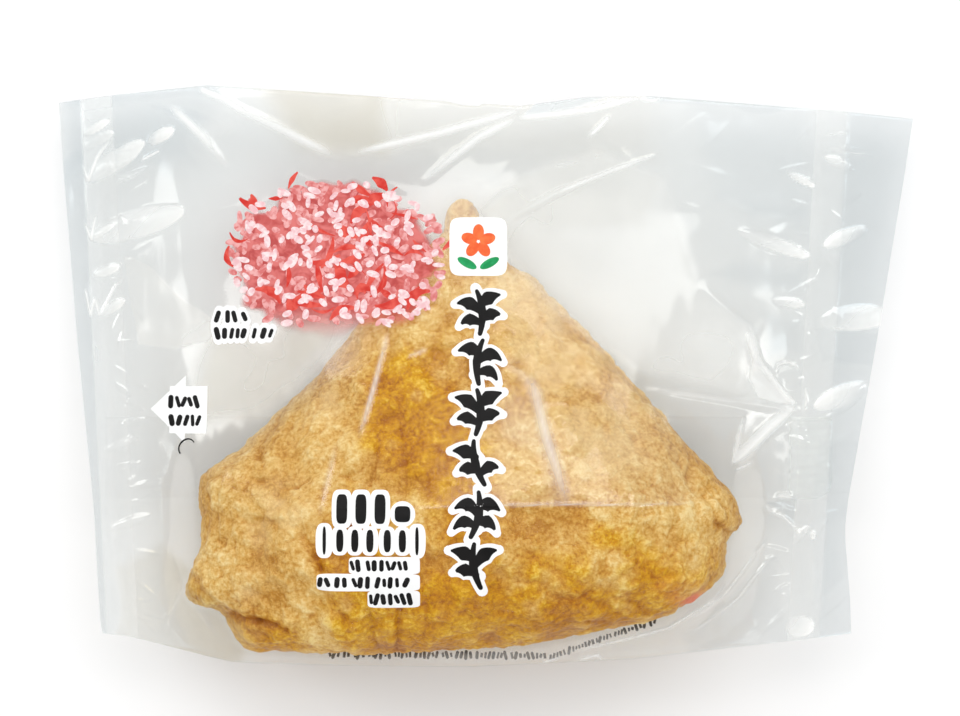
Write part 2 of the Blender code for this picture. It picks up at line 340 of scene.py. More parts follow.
# Patches where the skin is browned deeper, in mm: middle x and y, reach in x and y, share
BROWNED = (
    (-13.0, -7.0, 9.0, 11.0, 1.45),
    (-3.0, -16.0, 6.0, 8.0, 0.70),
    (-24.0, -30.0, 6.0, 9.0, 0.80),
    (4.0, -42.0, 24.0, 8.0, 1.20),
    (-17.0, -44.0, 9.0, 9.0, 1.05),
    (-39.0, -46.5, 7.0, 5.0, 0.95),
    (33.0, -36.0, 13.0, 9.0, 0.55),
    (18.0, -29.0, 14.0, 7.0, 0.40),
    (-50.0, -37.0, 6.0, 6.0, 0.35),
    (-4.0, -28.0, 12.0, 9.0, 0.45),
    (6.0, -3.0, 4.0, 5.0, 0.55),
)

# Patches where the skin is paler, laid out in the same way; the first two, right of the middle and on the lower
# left lobe, are painted light
PALE = (
    (20.0, -9.0, 13.0, 13.0, 0.70),
    (-43.5, -46.5, 3.4, 3.0, 0.60),
    (10.0, 8.0, 9.0, 9.0, 0.85),
    (-36.0, -24.0, 10.0, 10.0, 0.55),
    (3.0, 18.0, 9.0, 9.0, 0.60),
    (-27.0, -6.0, 8.0, 9.0, 0.50),
    (-42.0, -38.0, 5.0, 4.0, 0.40),
)

# Patches where the filling shows pink through the skin, laid out in the same way
PINK = (
    (37.6, -40.4, 3.0, 1.8, 0.80),
    (34.0, -38.0, 6.5, 4.0, 0.34),
)


def patch_field(x, y, patches):
    """Soft patches with the given places and shares."""
    field = np.zeros(x.shape)
    for middle_x, middle_y, reach_x, reach_y, share in patches:
        across = (x / MM - middle_x) / reach_x
        up = (y / MM - middle_y) / reach_y
        field += share * np.exp(-(across ** 2 + up ** 2))
    return field


def furrow_depth(points):
    """Depth of the furrows on the front of the skin."""
    warp = 0.7 * MM * np.stack([layered_swell(points, 6.0 * MM, seed, 2) for seed in (3, 4)], axis=-1)
    x, y = (points[:, :2] + warp).T
    depth = np.zeros(x.shape)
    for start_x, start_y, end_x, end_y, half_width, deep in FURROWS:
        share, away, length = along_line(x, y, (start_x * MM, start_y * MM), (end_x * MM, end_y * MM))
        beyond = np.maximum(np.maximum(-share, share - 1.0), 0.0) * length
        gap = np.hypot(away, beyond) / (half_width * MM)
        depth += deep * MM * np.exp(-gap ** 1.5)
    return depth


def smooth_solid(node):
    """Close, evenly meshed copy of a CAD solid, without its facets."""
    source = frame["nodes"][node]
    data = source.data.copy()
    shell = bmesh.new()
    shell.from_mesh(data)
    bmesh.ops.remove_doubles(shell, verts=shell.verts, dist=0.01 * MM)
    shell.to_mesh(data)
    shell.free()
    copy = bpy.data.objects.new("rough_" + node, data)
    bpy.context.scene.collection.objects.link(copy)
    refine = copy.modifiers.new("refine", "SUBSURF")
    refine.levels = refine.render_levels = 2
    remesh = copy.modifiers.new("remesh", "REMESH")
    remesh.mode = "VOXEL"
    remesh.voxel_size = SKIN_VOXEL
    settle = copy.modifiers.new("settle", "SMOOTH")
    settle.factor = 0.6
    settle.iterations = 14
    baked = bpy.data.meshes.new_from_object(copy.evaluated_get(bpy.context.evaluated_depsgraph_get()))
    bpy.data.objects.remove(copy, do_unlink=True)
    return baked


def skin_relief(points):
    """Height of the simmered skin's dents, puffs, wrinkles and pores, in metres."""
    warp = 1.1 * MM * np.stack([layered_swell(points, 4.0 * MM, seed, 2) for seed in (11, 12, 13)], axis=-1)
    moved = points + warp
    broad = layered_swell(moved, 13.0 * MM, 21, 2)
    wrinkle = 1.0 - 2.0 * np.abs(layered_swell(moved, 6.5 * MM, 22, 2))
    patchy = 0.5 + 0.5 * swell(points, 10.0 * MM, 26)
    near, second = pebbles(moved, 5.0 * MM, 23)
    puff = np.minimum(1.0 - near ** 2, 1.4 * (second - near)) - 0.35
    small_near, small_second = pebbles(points + 0.5 * warp, 2.1 * MM, 24)
    blister = np.minimum(1.0 - small_near ** 2, 1.6 * (small_second - small_near)) - 0.4
    pores = layered_swell(points, 1.1 * MM, 25, 2)
    return MM * (0.34 * broad + 0.28 * wrinkle + 0.52 * puff
                 + (0.14 + 0.22 * patchy) * blister + 0.07 * pores)


def tofu_material():
    """Simmered tofu skin: golden tan and moist; painted shade makes it darker amber between its puffs, and
    painted light makes it paler on their tops.
    """
    recipe = Recipe("simmered_tofu")
    place = recipe.place()
    relief = recipe.field("relief")
    browned = recipe.field("browned")
    pale = recipe.field("pale")
    mottle = recipe.noise(place, 3.4 * MM, 3.0, 0.6)
    fleck = recipe.noise(place, 0.8 * MM, 3.0, 0.7, 0.2)
    crinkle = recipe.noise(place, 2.4 * MM, 2.0, 0.6, 0.5)
    line = (1.0 - (crinkle - 0.5).size() * 15.0).most(0.0)
    drift = recipe.noise(place, 14.0 * MM, 2.0)
    # Painted shade and light: the relief darkens the tone in hollows and furrows and lightens it on the puffs
    depth = 0.52 + (relief - 0.5) * (0.72 - pale * 0.30) + (mottle - 0.5) * 0.60
    depth = depth + (fleck - 0.5) * (0.80 + drift * 1.5) + (drift - 0.5) * 0.35 - line * 0.14
    tan_stops = ((0.05, colour(184, 124, 36)[:3]), (0.32, colour(211, 157, 72)[:3]),
                 (0.58, colour(228, 184, 106)[:3]), (0.92, colour(246, 216, 152)[:3]))
    tan = recipe.add("ValToRGB", {"stops": tan_stops}, {0: depth})
    amber_stops = ((0.05, colour(166, 96, 0)[:3]), (0.38, colour(199, 133, 2)[:3]),
                   (0.66, colour(218, 160, 14)[:3]), (0.95, colour(242, 199, 80)[:3]))
    amber = recipe.add("ValToRGB", {"stops": amber_stops}, {0: depth})
    amber_share = (browned * (0.55 + mottle * 0.9)).ease(0.15, 0.95)
    shade = recipe.blend(amber_share, tan, amber)
    # Paler patches, partly painted light, blend the skin towards pale cream
    pale_and_painted_light_share = (pale * (0.5 + mottle)).ease(0.2, 1.0) * 0.5
    shade = recipe.blend(pale_and_painted_light_share, shade, colour(247, 217, 162))
    pink_share = (recipe.field("pink") * (0.6 + mottle * 0.8)).ease(0.1, 1.1) * 0.85
    shade = recipe.blend(pink_share, shade, colour(238, 122, 98))
    rough = 0.40 + fleck * 0.25 - browned * 0.08
    bump = recipe.bumps(fleck, 0.35 * MM, 1.0)
    inputs = {"Base Color": shade, "Roughness": rough, "Normal": bump, "Coat Weight": 0.10}
    inputs.update({"Coat Roughness": 0.2, "Specular IOR Level": 0.28})
    return recipe.finish(recipe.add("BsdfPrincipled", None, inputs))


def make_inari():
    """The tofu pouch with its detailed skin."""
    baked = smooth_solid("inari")
    count = len(baked.vertices)
    points = np.empty(count * 3)
    baked.vertices.foreach_get("co", points)
    points = points.reshape(-1, 3)
    normals = np.empty(count * 3)
    baked.vertex_normals.foreach_get("vector", normals)
    normals = normals.reshape(-1, 3)
    relief = skin_relief(points)
    furrows = ease_between(normals[:, 2], -0.1, 0.5) * furrow_depth(points)
    relief -= furrows
    points += normals * relief[:, None]
    points[:, 2] = np.maximum(points[:, 2], 0.45 * MM)
    points[:, 1] += 2.3 * MM * patch_field(points[:, 0], points[:, 1], ((23.0, -49.0, 10.0, 8.0, 1.0),))
    faces = [tuple(face.vertices) for face in baked.polygons]
    piece = make_piece("inari_skin", points, faces, tofu_material(), "inari")
    ragged = 1.0 + 0.5 * layered_swell(points, 4.0 * MM, 41, 3)
    set_field(piece, "relief", 0.5 + relief / (1.5 * MM))
    browned = ragged * patch_field(points[:, 0], points[:, 1], BROWNED)
    # Painted shade: the furrows deepen the colour towards amber, on top of the browned patches
    set_field(piece, "browned", browned + 0.45 * furrows / MM)
    set_field(piece, "pale", ragged * patch_field(points[:, 0], points[:, 1], PALE))
    pink = patch_field(points[:, 0], points[:, 1], PINK)
    pink *= ease_between(points[:, 2], 12.0 * MM, 17.0 * MM)
    set_field(piece, "pink", pink * ragged)
    return piece


# ---------------------------------------------------------------- film

COLUMNS = 430
ROWS = 290
END_FINENESS = 0.45
EDGE_INSET = 0.4 * MM
SKIN_CLEARANCE = 0.14 * MM
SEALED_GAP = 0.05 * MM
TAIL_GAP = 0.16 * MM
FLOOR_CLEARANCE = 0.25 * MM
FLOOR_EASE = 0.30 * MM

# The two sides of each pressed end seal in mm: x at the top edge and x at the base edge
LEFT_SEAL = ((-72.6, -67.6), (-67.6, -61.8))
RIGHT_SEAL = ((59.9, 53.5), (65.6, 58.6))

# Sharp folds in the front film: path, half width and height in mm, then how far the fold whitens, partly as
# stress whitening and partly as a painted highlight
FOLDS = (
    (((-52.0, 51.4), (-47.6, 49.6), (-43.0, 46.6)), 0.9, 0.40, 0.42),
    (((-47.0, 48.6), (-38.0, 44.4), (-27.0, 39.0)), 1.5, 0.50, 0.26),
    (((-57.4, 48.8), (-51.0, 42.6), (-45.7, 36.2)), 1.3, 0.35, 0.26),
    (((-24.0, 39.6), (-8.3, 43.3), (3.1, 46.6), (7.0, 48.0)), 1.0, 0.50, 0.42),
    (((5.5, 46.1), (12.4, 46.6), (19.3, 47.6), (27.5, 49.8)), 0.75, 0.45, 0.80),
    (((27.5, 49.8), (30.0, 49.2), (31.5, 49.6)), 0.5, 0.25, 0.45),
    (((-11.5, 34.0), (-8.3, 37.0), (-1.4, 42.5), (5.5, 46.1)), 1.1, 0.45, 0.42),
    (((3.5, 27.2), (12.0, 32.0), (20.0, 35.4)), 0.9, 0.30, 0.10),
    (((13.0, 32.6), (22.0, 36.2), (31.6, 39.7)), 0.5, 0.25, 0.34),
    (((18.4, 42.6), (20.2, 44.2), (22.2, 46.4)), 0.55, 0.20, 0.60),
    (((28.0, -2.6), (38.0, -4.0), (49.3, -5.7), (60.0, -7.4)), 1.0, 0.50, 0.14),
    (((38.0, 16.0), (46.6, 8.2), (48.8, 1.0), (55.8, -5.7)), 1.7, 0.85, 0.10),
    (((47.4, 7.8), (48.2, 3.1), (52.2, -2.1), (55.6, -6.3)), 0.9, 0.45, 0.42),
    (((43.8, -15.8), (47.2, -13.0), (50.4, -10.2), (55.4, -6.2)), 1.7, 0.60, 0.60),
    (((43.4, -16.2), (44.8, -11.0), (46.1, -6.9)), 0.6, 0.35, 0.34),
    (((43.4, -17.2), (45.4, -16.6), (47.6, -15.6)), 0.5, 0.25, 0.34),
    (((51.8, -0.2), (52.4, 1.5), (54.0, 2.1), (55.6, 1.5), (56.4, 0.2)), 0.45, 0.30, 0.50),
    (((34.0, -44.5), (42.0, -38.6), (50.5, -29.0)), 0.6, 0.35, 0.22),
    (((36.0, -45.8), (44.5, -39.6), (52.0, -31.5)), 0.6, 0.35, 0.16),
    (((49.0, -24.0), (53.0, -25.6), (56.0, -28.4)), 0.8, 0.30, 0.18),
    (((43.0, -36.0), (39.6, -39.8), (32.0, -44.6), (22.0, -47.0), (13.1, -49.2)), 0.55, 0.30, 0.34),
    (((16.0, -50.6), (19.5, -49.6), (21.0, -51.0)), 0.6, 0.25, 0.45),
    (((9.8, -51.0), (12.6, -50.2)), 0.5, 0.25, 0.40),
    (((51.6, -21.8), (55.2, -22.2)), 0.7, 0.30, 0.30),
    (((7.7, 0.6), (10.4, -11.0), (14.2, -22.6)), 1.7, 0.20, 0.38),
    (((2.2, 2.6), (6.0, 0.4), (9.6, -4.0)), 1.6, 0.15, 0.12),
    (((-17.4, 7.4), (-19.6, -2.0), (-22.2, -11.4)), 0.85, 0.20, 0.50),
    (((-26.0, -11.6), (-27.4, -18.0), (-28.8, -24.6)), 0.9, 0.15, 0.20),
    (((-14.0, 3.0), (-10.4, 4.4)), 0.8, 0.15, 0.24),
    (((-13.0, -22.9), (12.0, -22.4), (37.0, -22.7)), 0.40, 0.25, 0.30),
    (((-46.0, -48.5), (-52.0, -40.0), (-56.5, -30.0)), 1.0, 0.30, 0.05),
    (((-58.0, -46.0), (-52.5, -36.0)), 0.9, 0.30, 0.05),
    (((-72.2, 15.4), (-71.2, 10.0)), 0.35, 0.30, 0.35),
    (((-71.3, 10.2), (-70.5, 13.6)), 0.35, 0.30, 0.35),
    (((-70.5, 13.6), (-69.6, 10.2)), 0.35, 0.30, 0.35),
    (((-69.6, 10.2), (-66.6, 16.0), (-64.6, 17.4)), 0.40, 0.30, 0.30),
    (((-72.6, 27.4), (-71.2, 24.2), (-70.4, 28.6)), 0.35, 0.30, 0.35),
    (((-72.8, 37.6), (-71.8, 34.8), (-70.2, 39.0), (-67.8, 42.4)), 0.35, 0.30, 0.35),
    (((-67.0, 34.0), (-62.4, 36.0)), 0.3, 0.20, 0.25),
    (((-62.4, 38.3), (-58.5, 40.3)), 0.4, 0.25, 0.45),
    (((57.4, -2.4), (57.6, -5.0), (57.0, -6.6)), 0.5, 0.30, 0.35),
    (((61.2, 40.6), (70.0, 39.4)), 0.35, 0.20, 0.20),
    (((61.0, 43.0), (66.0, 43.6)), 0.35, 0.20, 0.20),
    (((59.0, -44.6), (63.0, -41.4), (67.4, -37.6)), 0.5, 0.25, 0.06),
)

# Leaf-shaped puckers of the front film: start and end in mm, half width and height in mm, and
# how strong the pucker's painted highlight grows towards its end
LEAVES = (
    (-72.6, 43.2, -68.0, 45.8, 0.9, 0.35, 0.34),
    (-72.4, 41.0, -67.2, 43.6, 1.0, 0.30, 0.10),
    (-71.8, 35.0, -61.7, 41.9, 2.1, 0.75, 0.26),
    (-61.0, 41.6, -56.2, 44.2, 1.4, 0.60, 0.42),
    (-71.2, 24.4, -54.2, 29.4, 2.9, 0.95, 0.38),
    (-70.8, 24.6, -67.0, 26.9, 0.7, 0.35, 0.30),
    (-70.7, 17.7, -66.0, 19.4, 1.1, 0.45, 0.45),
    (-69.6, 10.4, -65.0, 13.4, 1.1, 0.50, 0.40),
    (-68.8, -14.0, -62.5, -11.4, 0.9, 0.30, 0.10),
    (-67.6, -28.0, -60.0, -25.2, 1.1, 0.35, 0.08),
    (54.3, 36.3, 59.3, 33.8, 0.8, 0.40, 0.75),
    (45.0, 25.8, 58.3, 21.1, 1.5, 0.60, 0.75),
    (68.8, 26.3, 60.8, 23.0, 1.5, 0.50, 0.42),
    (51.6, 13.2, 57.4, 12.4, 1.0, 0.45, 0.40),
    (60.0, 9.4, 73.5, 10.6, 2.6, 0.70, 0.36),
    (52.1, -0.4, 57.0, -0.8, 2.4, 0.50, 0.03),
    (69.4, -2.0, 59.0, -6.0, 2.2, 0.60, 0.40),
    (66.6, 36.6, 61.2, 39.2, 1.1, 0.35, 0.25),
    (54.4, -31.0, 57.8, -27.2, 0.8, 0.40, 0.15),
    (53.4, -45.4, 58.8, -45.1, 2.2, 0.45, 0.50),
    (58.4, -28.0, 58.8, -29.8, 0.5, 0.30, 0.60),
    (55.2, -28.0, 56.4, -28.3, 0.35, 0.20, 0.60),
)

# Milky or greyer zones of the front film: outline in mm, softness in mm, milkiness, then a tint
# from -1 for beige to 1 for bluish grey
ZONES = (
    (((-1.4, 28.5), (6.0, 36.6), (20.5, 40.2), (31.3, 35.7), (38.5, 15.0), (47.9, 6.0), (48.8, 1.0),
      (44.8, -3.9), (36.7, -2.0), (20.0, 4.0), (4.0, 20.0)), 2.4, 0.14, -0.08),
    (((-1.4, 28.5), (6.0, 36.6), (20.5, 40.2), (31.3, 35.7), (28.0, 26.0), (10.0, 26.0)), 5.0, 0.04, -0.2),
    (((-65.2, 20.6), (-60.0, 18.6), (-55.8, 15.6), (-48.0, 8.0), (-50.6, 5.1), (-63.2, 5.1)), 0.7, 0.13, -0.15),
    (((-64.0, 8.0), (-46.0, 8.0), (-30.0, -2.0), (-46.0, -18.0), (-62.0, -22.0)), 3.0, 0.05, 0.0),
    (((45.9, -6.9), (55.5, -6.3), (49.6, -11.6), (43.6, -16.2)), 0.8, 0.16, 0.0),
    (((-52.0, 51.0), (-27.0, 38.0), (-10.0, 42.0), (5.0, 49.0)), 1.6, 0.08, 0.0),
    (((44.0, 21.0), (58.0, 19.0), (57.0, 14.5), (44.0, 16.0), (40.0, 18.0)), 4.0, 0.08, 0.9),
    (((42.0, 32.0), (59.0, 31.6), (59.0, 27.4), (48.0, 28.0)), 4.0, 0.05, 0.8),
    (((49.5, 11.0), (57.0, 10.0), (56.6, 4.0), (50.6, 3.6)), 3.0, 0.06, 0.8),
    (((50.6, -22.6), (55.6, -22.4), (55.0, -27.0)), 0.6, 0.10, 0.9),
    (((-77.0, 50.0), (-50.0, 53.0), (-48.0, 51.0), (-76.0, 47.8)), 1.0, 0.07, 0.9),
    (((6.0, 46.8), (12.4, 47.3), (19.3, 48.3), (27.0, 50.4), (22.0, 53.0), (14.0, 51.5), (8.0, 49.5)),
     1.4, 0.16, 0.6),
    (((29.0, 50.6), (60.0, 48.6), (60.0, 46.8), (29.0, 48.6)), 0.8, 0.08, 0.9),
    (((60.0, -12.0), (68.0, -12.0), (65.0, -36.0), (59.0, -42.0), (58.0, -24.0)), 1.4, 0.06, 1.0),
    (((59.0, 8.0), (71.0, 7.4), (70.0, 1.0), (60.0, 2.0)), 1.0, 0.07, 1.0),
    (((-58.0, -30.0), (-40.0, -46.0), (-44.0, -52.0), (-66.0, -50.0), (-66.0, -34.0)), 3.0, 0.08, -1.0),
    (((34.0, -46.0), (52.0, -32.0), (55.0, -48.0), (36.0, -51.0)), 2.0, 0.05, 0.6),
    (((-78.0, 60.0), (-46.0, 60.0), (-52.0, 38.0), (-78.0, 34.0)), 8.0, 0.16, 0.95),
    (((-46.0, 60.0), (-18.0, 60.0), (-18.0, 39.0), (-34.0, 39.0)), 8.0, 0.17, -0.8),
    (((-20.0, 60.0), (34.0, 60.0), (30.0, 38.0), (-20.0, 39.0)), 8.0, 0.14, -0.35),
    (((34.0, 60.0), (60.0, 58.0), (60.0, 24.0), (40.0, 30.0)), 8.0, 0.12, 0.7),
    (((-50.0, 8.0), (-38.0, 7.0), (-30.0, 14.0), (-24.0, 10.0), (-38.0, -6.0), (-52.0, -10.0)), 5.0, 0.14, -0.40),
    (((1.8, -3.2), (10.0, -3.2), (12.1, -12.9), (14.4, -22.4), (11.7, -22.4), (8.1, -12.2), (2.5, -10.5)),
     2.2, 0.10, -0.3),
    (((47.8, 2.7), (52.2, -2.4), (55.5, -5.8), (52.6, -5.6), (48.5, -3.9), (47.2, -0.6)), 0.8, 0.32, 0.0),
    (((-59.4, 48.4), (-55.7, 48.1), (-43.9, 44.9), (-49.1, 40.8), (-54.6, 45.5)), 1.4, 0.13, 0.0),
    (((-78.0, 40.0), (-70.0, 40.0), (-66.0, -50.0), (-78.0, -50.0)), 3.0, 0.14, 0.95),
)


def bag_outline():
    """Outer line of the bag seen from the front, in order of angle about the hub."""
    points = read_mesh(frame["nodes"]["bag"])[0]
    arms = points[:, :2] - HUB
    reach = np.linalg.norm(arms, axis=1)
    arms, reach = arms[reach > MM], reach[reach > MM]
    angles = np.arctan2(arms[:, 1], arms[:, 0])
    order = np.argsort(angles)
    angles, reach, arms = angles[order], reach[order], arms[order]
    starts = np.flatnonzero(np.diff(angles, prepend=-9.0) > 0.0005)
    line = []
    for start, end in zip(starts, np.append(starts[1:], len(angles))):
        line.append(HUB + arms[start + int(np.argmax(reach[start:end]))])
    return np.array(line)


def side_of(line, first, last, shares):
    """Points along one side of a closed line, from one corner to the next, by share of length."""
    count = len(line)
    steps = (last - first) % count
    side = line[[(first + step) % count for step in range(steps + 1)]]
    along = np.concatenate(((0.0,), np.cumsum(np.linalg.norm(np.diff(side, axis=0), axis=1))))
    return np.stack([np.interp(shares * along[-1], along, side[:, axis]) for axis in (0, 1)], axis=-1)


def film_grid():
    """Places of the film's grid between the four sides of the bag."""
    line = bag_outline()
    corners = {}
    for name, spot in (("bl", (cad_low[0], cad_low[1])), ("br", (cad_high[0], cad_low[1])),
                       ("tr", (cad_high[0], cad_high[1])), ("tl", (cad_low[0], cad_high[1]))):
        corners[name] = int(np.argmin(np.linalg.norm(line - np.array(spot), axis=1)))
    step = np.linspace(0.0, 1.0, COLUMNS)
    across = step - END_FINENESS / (2.0 * math.pi) * np.sin(2.0 * math.pi * step)
    up = np.linspace(0.0, 1.0, ROWS)
    base = side_of(line, corners["bl"], corners["br"], across)[None, :, :]
    right = side_of(line, corners["br"], corners["tr"], up)[:, None, :]
    top = side_of(line, corners["tr"], corners["tl"], 1.0 - across)[None, :, :]
    left = side_of(line, corners["tl"], corners["bl"], 1.0 - up)[:, None, :]
    u = across[None, :, None]
    v = up[:, None, None]
    grid = (1.0 - v) * base + v * top + (1.0 - u) * left + u * right
    grid -= (1.0 - v) * ((1.0 - u) * base[:, :1] + u * base[:, -1:])
    grid -= v * ((1.0 - u) * top[:, :1] + u * top[:, -1:])
    return grid[..., 0], grid[..., 1]


def spread(field, times):
    """Soften a grid field by averaging neighbours."""
    for _ in range(times):
        padded = np.pad(field, 1, mode="edge")
        field = 0.25 * padded[:-2, 1:-1] + 0.5 * padded[1:-1, 1:-1] + 0.25 * padded[2:, 1:-1]
        padded = np.pad(field, 1, mode="edge")
        field = 0.25 * padded[1:-1, :-2] + 0.5 * padded[1:-1, 1:-1] + 0.25 * padded[1:-1, 2:]
    return field


def widen(field, times):
    """Grow the high places of a grid field sideways."""
    for _ in range(times):
        padded = np.pad(field, 1, mode="edge")
        sides = (padded[:-2, 1:-1], padded[2:, 1:-1], padded[1:-1, :-2], padded[1:-1, 2:])
        field = np.maximum(field, np.maximum.reduce(sides))
    return field


def seal_place(line, y):
    """Distance x of a slanting seal line at each height."""
    share = (y - cad_low[1]) / (cad_high[1] - cad_low[1])
    return (line[1] + (line[0] - line[1]) * share) * MM


def fold_shape(x, y, path, half_width):
    """Share from 0 to 1 of a sharp-crested fold along a path, which fades at both ends."""
    path = np.array(path) * MM
    lengths = np.linalg.norm(np.diff(path, axis=0), axis=1)
    total = lengths.sum()
    gap = np.full(x.shape, 1.0)
    spot = np.zeros(x.shape)
    before = 0.0
    for start, end, length in zip(path[:-1], path[1:], lengths):
        share = np.clip(along_line(x, y, start, end)[0], 0.0, 1.0)
        away = np.hypot(x - start[0] - share * (end - start)[0], y - start[1] - share * (end - start)[1])
        closer = away < gap
        gap = np.where(closer, away, gap)
        spot = np.where(closer, (before + share * length) / total, spot)
        before += length
    fade = 1.0 - np.abs(2.0 * spot - 1.0) ** 3
    return fade * np.clip(1.0 - gap / (half_width * MM), 0.0, 1.0) ** 1.5


def leaf_shape(x, y, start, end, half_width):
    """Share from 0 to 1 of a leaf-shaped pucker, and its painted highlight, which grows towards the end."""
    share, away, _ = along_line(x, y, np.array(start) * MM, np.array(end) * MM)
    bulge = np.sqrt(np.clip(4.0 * share * (1.0 - share), 0.0, 1.0))
    across = away / (half_width * MM * np.maximum(bulge, 0.05))
    inside = np.clip(1.0 - across ** 2, 0.0, 1.0) * (bulge > 0.0)
    crisp = ease_between(inside, 0.0, 0.45) * (0.65 - 0.35 * across)
    return bulge * inside, crisp * (0.15 + 0.85 * np.clip(share, 0.0, 1.0) ** 1.6)


def zone_share(x, y, outline, soft):
    """Share from 0 to 1 of a soft-edged zone inside an outline."""
    outline = np.array(outline) * MM
    gap = np.full(x.shape, 1.0)
    inside = np.zeros(x.shape, dtype=bool)
    for start, end in zip(outline, np.roll(outline, -1, axis=0)):
        share = np.clip(along_line(x, y, start, end)[0], 0.0, 1.0)
        gap = np.minimum(gap, np.hypot(x - start[0] - share * (end - start)[0],
                                       y - start[1] - share * (end - start)[1]))
        if start[1] != end[1]:
            crosses = (start[1] > y) != (end[1] > y)
            inside ^= crosses & (x < start[0] + (y - start[1]) * (end[0] - start[0]) / (end[1] - start[1]))
    return ease_between(np.where(inside, gap, -gap), -0.5 * soft * MM, 0.5 * soft * MM)


def small_puckers(x, y):
    """Heights and painted highlights of many small leaves along both end seals, and of fine creases."""
    dice = np.random.default_rng(58)
    high = np.zeros(x.shape)
    # white holds the painted highlights of the small puckers and fine creases
    white = np.zeros(x.shape)
    for line, way, count in ((LEFT_SEAL[1], 1.0, 46), (RIGHT_SEAL[0], -1.0, 40), (RIGHT_SEAL[1], 1.0, 16)):
        for _ in range(count):
            height = dice.uniform(-44.0, 46.0)
            start_x = float(seal_place(line, height * MM)) / MM - way * dice.uniform(-0.5, 3.0)
            length = dice.uniform(2.0, 7.5)
            turn = dice.normal(0.0, 0.55)
            end = (start_x + way * length * math.cos(turn), height + length * math.sin(turn))
            rise, pale = leaf_shape(x, y, (start_x, height), end, dice.uniform(0.25, 0.75))
            high += rise * dice.uniform(0.08, 0.3)
            white += pale * dice.uniform(0.0, 0.10)
    for _ in range(26):
        start = (dice.uniform(-60.0, 52.0), dice.uniform(24.0, 47.0))
        turn = dice.uniform(-1.2, 1.2)
        length = dice.uniform(5.0, 14.0)
        end = (start[0] + length * math.cos(turn), start[1] + length * math.sin(turn))
        rise = fold_shape(x, y, (start, end), dice.uniform(0.6, 1.4))
        high += rise * dice.uniform(0.02, 0.07)
        white += rise * dice.uniform(0.0, 0.02)
    return high, white


def film_creases(x, y):
    """Height in metres, whitening and painted gleam, milkiness and tint of the front film's creases and zones."""
    high, whitening_and_painted_gleam = small_puckers(x, y)
    milky, tint = np.zeros(x.shape), np.zeros(x.shape)
    for path, half_width, height, pale in FOLDS:
        rise = fold_shape(x, y, path, half_width)
        high += rise * height
        whitening_and_painted_gleam += rise * pale
    for start_x, start_y, end_x, end_y, half_width, height, pale in LEAVES:
        # Painted highlight: each pucker brightens the film towards its end
        rise, painted_shine = leaf_shape(x, y, (start_x, start_y), (end_x, end_y), half_width)
        high += rise * height
        whitening_and_painted_gleam += painted_shine * min(1.9 * pale, 0.95)
    warp = 0.8 * MM * np.stack([swell(np.stack((x, y), axis=-1), 7.0 * MM, seed) for seed in (75, 76)])
    for outline, soft, whitened, tinted in ZONES:
        share = zone_share(x + warp[0], y + warp[1], outline, soft)
        milky += share * whitened
        tint = np.where(share * abs(tinted) > np.abs(tint), share * tinted, tint)
    return high * MM, np.minimum(whitening_and_painted_gleam, 0.9), milky, tint


def film_material(name, clear_tone=(251, 252, 252)):
    """Clear wrapping film: mostly see-through, with a sheen that grows where it turns away."""
    recipe = Recipe(name)
    cloud = recipe.noise(recipe.place(), 9.0 * MM, 0.0)
    haze = recipe.field("haze") * (0.75 + cloud * 0.5)
    loose = 1.0 - recipe.field("cling")
    edge = recipe.add("LayerWeight", None, {"Blend": 0.28}, out=1)
    share = (haze + (0.042 + edge * 0.38) * (0.03 + loose * 0.97)).least(0.96)
    tint = recipe.field("tint")
    tint = recipe.blend(tint, recipe.blend(0.0 - tint, colour(252, 252, 249), colour(184, 166, 118)),
                        colour(171, 184, 191))
    inputs = {"Base Color": tint, "Metallic": 0.75 - haze.ease(0.0, 0.28) * 0.75}
    inputs["Roughness"] = 0.06 + cloud * 0.06 + haze * 0.3
    gloss = recipe.add("BsdfPrincipled", None, inputs)
    clear = recipe.add("BsdfTransparent", None, {"Color": colour(*clear_tone)})
    recipe.material.surface_render_method = "BLENDED"
    return recipe.finish(recipe.add("MixShader", None, {0: share, 1: clear, 2: gloss}))


def grid_faces(rows, columns, flip=False):
    """Faces of a grid of points."""
    index = np.arange(rows * columns).reshape(rows, columns)
    faces = np.stack((index[:-1, :-1], index[:-1, 1:], index[1:, 1:], index[1:, :-1]), axis=-1)
    faces = faces.reshape(-1, 4)
    return (faces[:, ::-1] if flip else faces).tolist()


# Milky patches of the front film in mm: middle x and y, reach in x and y, share
HAZE = (
    (-47.0, 1.0, 12.0, 12.0, 0.10),
    (8.0, 24.0, 20.0, 11.0, 0.07),
    (-4.0, 30.0, 9.0, 6.0, 0.15),
    # Painted light: this milkiness lightens the inari's shadow on the floor, left of its upper edge
    (-30.5, 5.5, 6.0, 7.0, 0.24),
    (10.0, 10.0, 8.0, 8.0, 0.05),
    (28.0, -6.0, 13.0, 11.0, 0.06),
    (-56.0, -2.0, 10.0, 14.0, 0.03),
    (-52.0, 27.0, 7.0, 7.0, 0.06),
    (38.0, 3.0, 9.0, 9.0, 0.08),
)


def haze_field(x, y):
    """Milky share of the front film, with a painted reflection: a milky band above the crosswise crease."""
    field = patch_field(x, y, HAZE)
    painted_reflection_above_line = ease_between(y, -22.9 * MM, -22.4 * MM) * (1.0 - ease_between(y, -16.0 * MM, 8.0 * MM))
    beside = ease_between(x, -14.0 * MM, 4.0 * MM) * (1.0 - ease_between(x, 34.0 * MM, 39.0 * MM))
    near_line = np.exp(-np.maximum(y + 22.4 * MM, 0.0) / (3.0 * MM))
    # Painted reflection: the band above the crosswise crease is milkiest right next to it
    return field + (0.04 + 0.05 * near_line) * painted_reflection_above_line * beside


